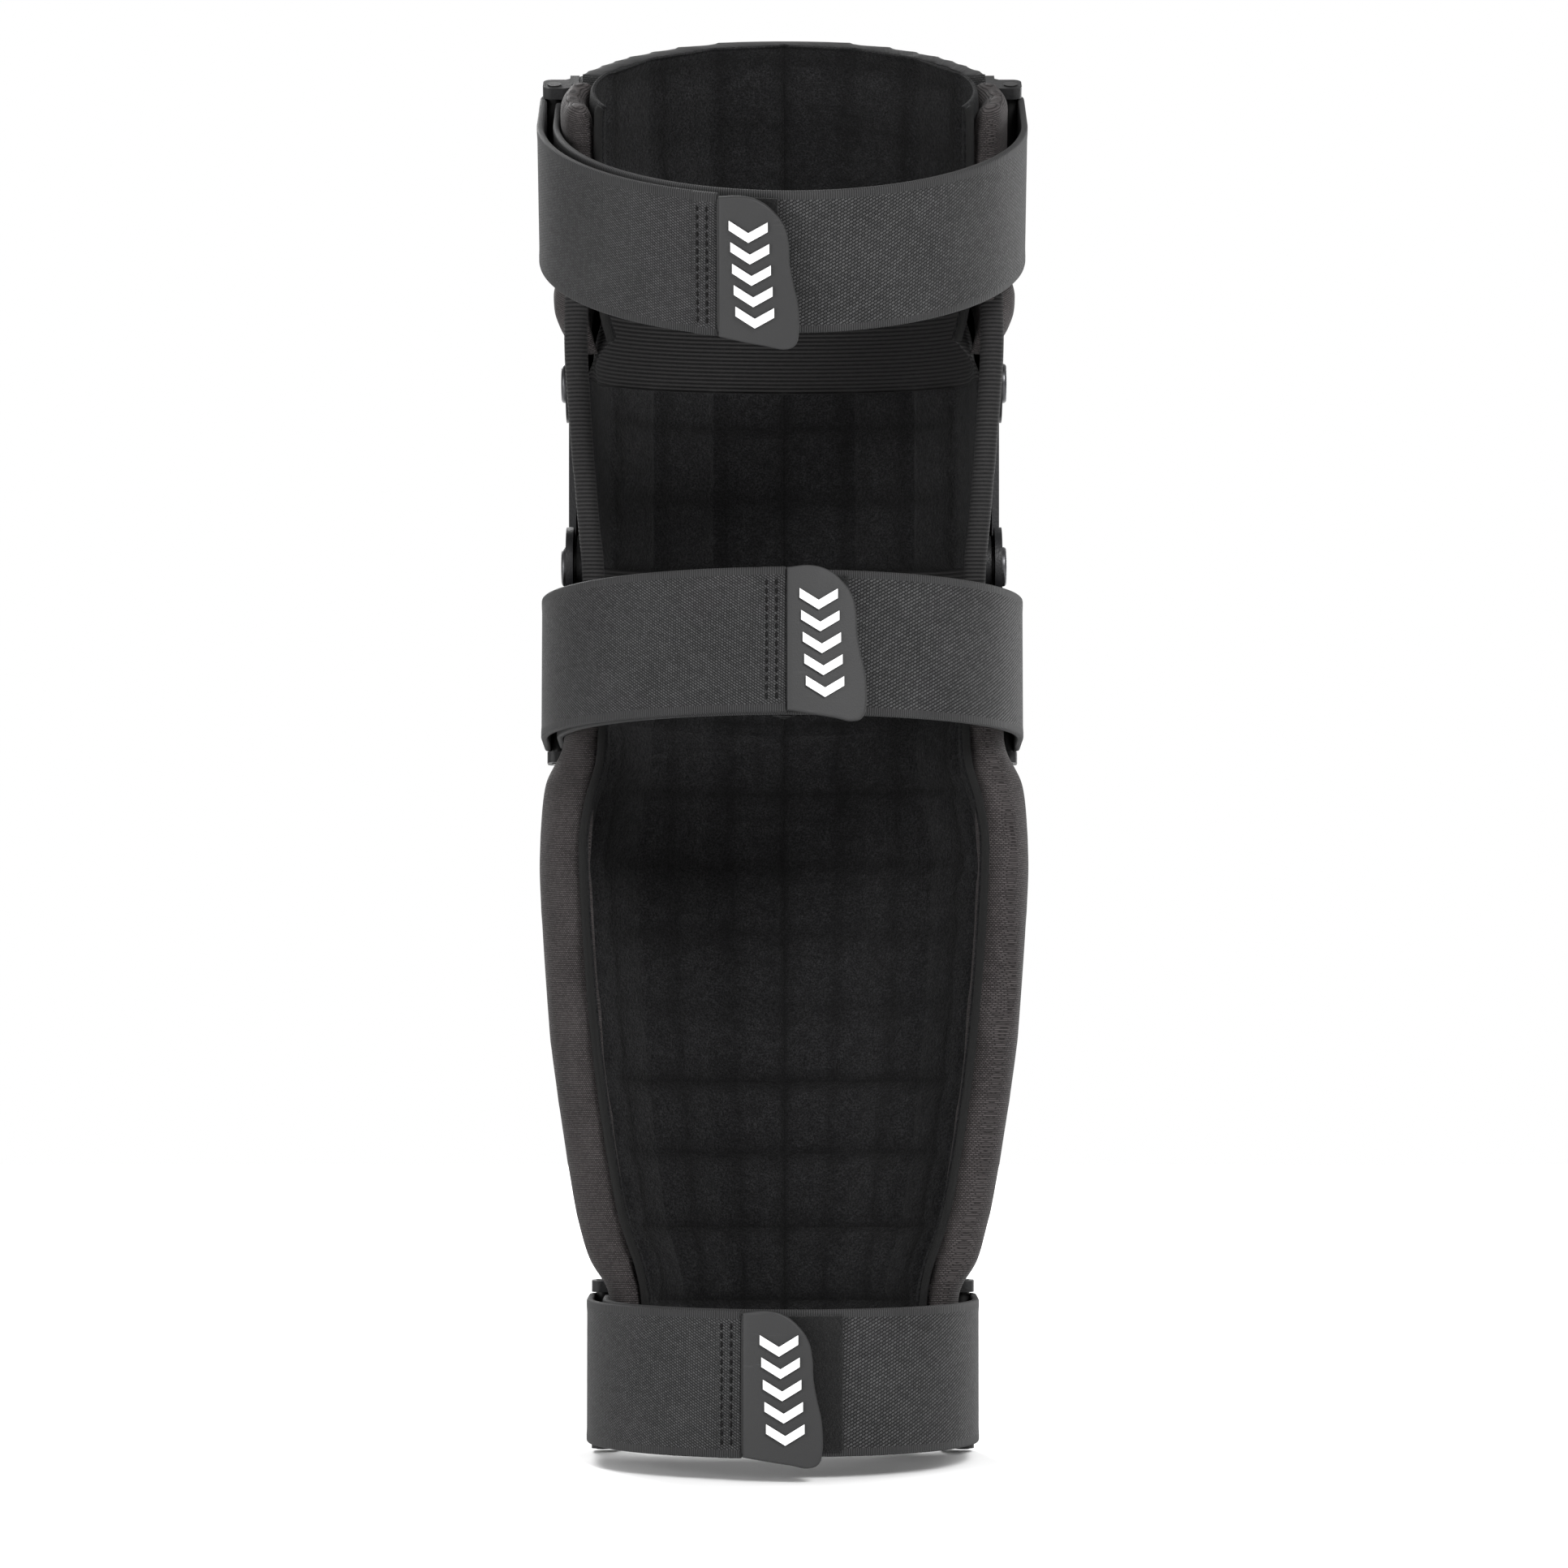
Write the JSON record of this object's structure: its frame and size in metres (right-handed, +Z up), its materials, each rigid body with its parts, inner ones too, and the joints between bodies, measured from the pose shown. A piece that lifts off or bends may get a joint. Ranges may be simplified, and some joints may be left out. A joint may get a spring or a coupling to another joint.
{
  "type": "knee and shin guard",
  "caption": "Hinged knee and shin guard: hard front shells over padded knit wings, closed behind the leg by fold-back hook-and-loop straps.",
  "frame": {"origin": "middle of the lower knee pivot line, in the guard's mid-plane", "axes": "+Z up the leg, -Y out of the knee cup's front, +X towards the straps' pull side"},
  "size_m": [0.1704, 0.2023, 0.503],
  "materials": {
    "shell_plastic": "fine moulded texture",
    "bracket_plastic": "moulded nylon",
    "steel_fixings": "black zinc",
    "washer_plastic": "natural acetal",
    "foam": "foam under knit cover",
    "wing_knit": "dotted spacer knit",
    "brushed_lining": "brushed fleece",
    "binding": "folded tape",
    "ribbed_knit": "ribbed knit",
    "webbing": "elastic webbing, twill face",
    "loop_fabric": "loop pile",
    "hook_fabric": "moulded hooks on woven tape",
    "tab_rubber": "satin rubber",
    "tab_mark": "white raised print"
  },
  "bodies": {
    "shin": {"ankle_strap_band": "webbing", "ankle_strap_bracket_anchor_side": "bracket_plastic", "ankle_strap_bracket_pull_side": "bracket_plastic", "ankle_strap_loop_patch": "loop_fabric", "ankle_strap_pins": "steel_fixings", "calf_strap_band": "webbing", "calf_strap_bracket_anchor_side": "bracket_plastic", "calf_strap_bracket_pull_side": "bracket_plastic", "calf_strap_loop_patch": "loop_fabric", "calf_strap_pins": "steel_fixings", "shin_edge_binding": "binding", "shin_foam_pad": "foam", "shin_lining": "brushed_lining", "shin_shell": "shell_plastic", "shin_wing_anchor_side": "wing_knit", "shin_wing_pull_side": "wing_knit"},
    "knee_cup": {"knee_cup_foam_pad": "foam", "knee_cup_lining": "brushed_lining", "knee_cup_shell": "shell_plastic", "knee_pad_fixing_strip": "hook_fabric", "knee_side_roll_anchor_side": "ribbed_knit", "knee_side_roll_pull_side": "ribbed_knit", "pivot_rivets": "steel_fixings", "pivot_washers": "washer_plastic"},
    "thigh": {"thigh_edge_binding": "binding", "thigh_foam_pad": "foam", "thigh_lining": "brushed_lining", "thigh_shell": "shell_plastic", "thigh_strap_band": "webbing", "thigh_strap_bracket_anchor_side": "bracket_plastic", "thigh_strap_bracket_pull_side": "bracket_plastic", "thigh_strap_loop_patch": "loop_fabric", "thigh_strap_pins": "steel_fixings", "thigh_wing_anchor_side": "wing_knit", "thigh_wing_pull_side": "wing_knit"},
    "thigh_strap_end": {"thigh_strap_end_webbing": "webbing", "thigh_strap_hook_patch": "hook_fabric", "thigh_strap_pull_tab": "tab_rubber", "thigh_strap_tab_chevrons": "tab_mark"},
    "calf_strap_end": {"calf_strap_end_webbing": "webbing", "calf_strap_hook_patch": "hook_fabric", "calf_strap_pull_tab": "tab_rubber", "calf_strap_tab_chevrons": "tab_mark"},
    "ankle_strap_end": {"ankle_strap_end_webbing": "webbing", "ankle_strap_hook_patch": "hook_fabric", "ankle_strap_pull_tab": "tab_rubber", "ankle_strap_tab_chevrons": "tab_mark"}
  },
  "joints": [
    {"name": "lower_knee_hinge", "type": "hinge", "parent": "shin", "child": "knee_cup", "pos_m": [0, 0, 0], "axis": [-1, 0, 0], "range_deg": [-8, 20]},
    {"name": "upper_knee_hinge", "type": "hinge", "parent": "knee_cup", "child": "thigh", "pos_m": [0, 0, 0.065], "axis": [-1, 0, 0], "range_deg": [-8, 22]},
    {"name": "thigh_strap_fold", "type": "hinge", "parent": "thigh", "child": "thigh_strap_end", "pos_m": [0.0808, 0.00395, 0.1418], "axis": [0, -0.3987, -0.9171], "range_deg": [0, 100]},
    {"name": "calf_strap_fold", "type": "hinge", "parent": "shin", "child": "calf_strap_end", "pos_m": [0.0808, -0.02658, -0.04031], "axis": [0, 0.1149, -0.9934], "range_deg": [0, 100]},
    {"name": "ankle_strap_fold", "type": "hinge", "parent": "shin", "child": "ankle_strap_end", "pos_m": [0.0641, 0.00067, -0.28251], "axis": [0, 0.0244, -0.9997], "range_deg": [0, 100]}
  ]
}
